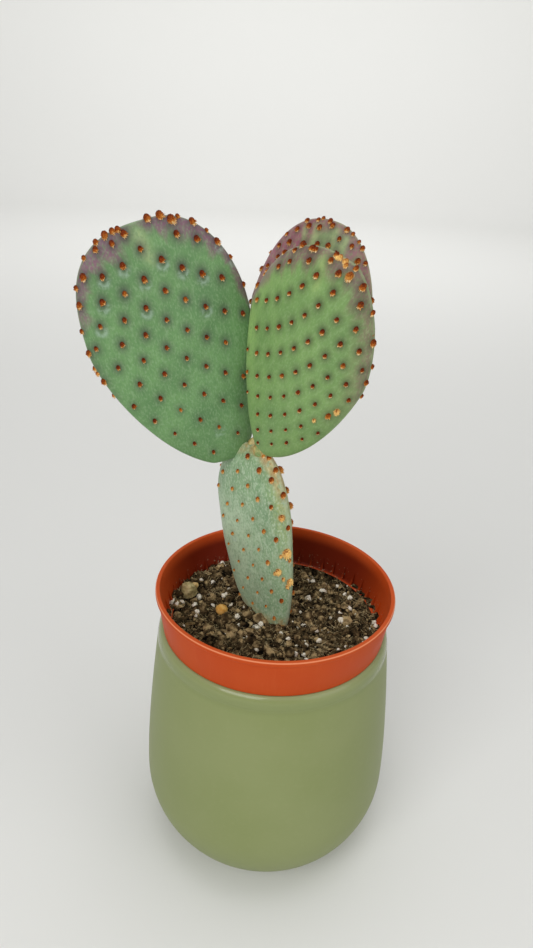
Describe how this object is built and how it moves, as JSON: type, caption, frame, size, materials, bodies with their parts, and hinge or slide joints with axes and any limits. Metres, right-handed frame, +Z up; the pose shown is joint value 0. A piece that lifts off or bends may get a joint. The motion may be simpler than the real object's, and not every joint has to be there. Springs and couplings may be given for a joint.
{
  "type": "potted paddle cactus",
  "caption": "Young paddle cactus with flat oval pads and rust-coloured areoles, in a terracotta-coloured nursery pot set in a rounded sage-green glazed outer pot.",
  "frame": {"origin": "centre of the outer pot's flat foot, on the surface it stands on", "axes": "+Z up; -Y is the front, towards the picture's camera; +X to the right"},
  "size_m": [0.143, 0.1198, 0.3016],
  "materials": {
    "outer_pot_glaze": "satin",
    "nursery_plastic": "satin",
    "soil_mix": "matte",
    "clay": "matte",
    "stone": "matte",
    "pad_skin": "satin",
    "base_pad_skin": "satin"
  },
  "bodies": {
    "root": {"outer_pot": "outer_pot_glaze", "nursery_pot": "nursery_plastic", "soil": "soil_mix", "clay_ball": "clay", "tan_stone": "stone", "yellow_pebble": "stone", "base_pad": "base_pad_skin", "left_pad": "pad_skin", "right_front_pad": "pad_skin", "right_back_pad": "pad_skin"}
  },
  "joints": []
}
